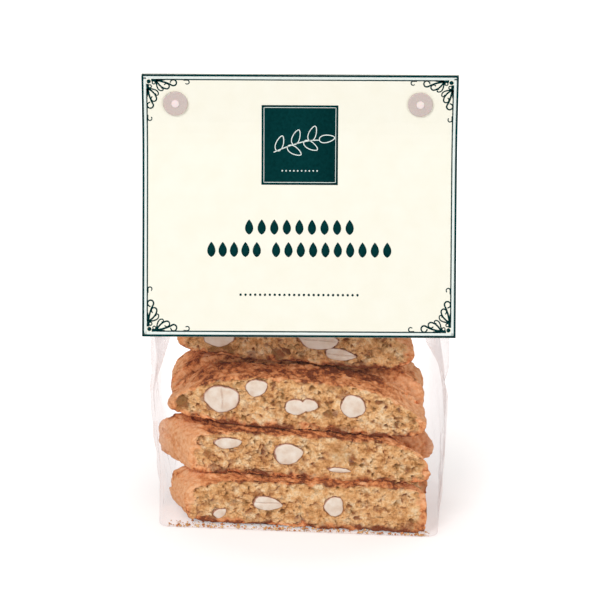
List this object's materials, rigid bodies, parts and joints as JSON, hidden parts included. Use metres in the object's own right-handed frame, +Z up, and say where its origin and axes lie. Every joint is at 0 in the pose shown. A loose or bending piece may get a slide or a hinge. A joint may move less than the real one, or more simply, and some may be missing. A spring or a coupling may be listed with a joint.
{
  "type": "bag of almond biscotti",
  "caption": "Standing clear film bag holding a stack of sliced almond biscotti, closed by a folded cream header card and two round plastic rivets.",
  "frame": {"origin": "middle of the bag's flat base, on the surface that it stands on", "axes": "+Z up, -Y towards the shown front of the card, +X to the right seen from the front"},
  "size_m": [0.13, 0.0688, 0.193],
  "materials": {
    "clear_film": "clear crinkled packing film over browned biscuit",
    "card_stock": "smooth cream printed card with a dark green frame",
    "frosted_plastic": "grey translucent moulded plastic, finely grained",
    "baked_dough": "dry baked almond dough: open yellow crumb on the cuts and an orange-brown crust",
    "almond_kernel": "ivory cut almond with a thin brown skin",
    "printing_ink": "flat dark green printing ink"
  },
  "bodies": {
    "root": {"bag": "clear_film", "header_card": "card_stock", "rivet_left": "frosted_plastic", "rivet_right": "frosted_plastic"}
  },
  "joints": []
}
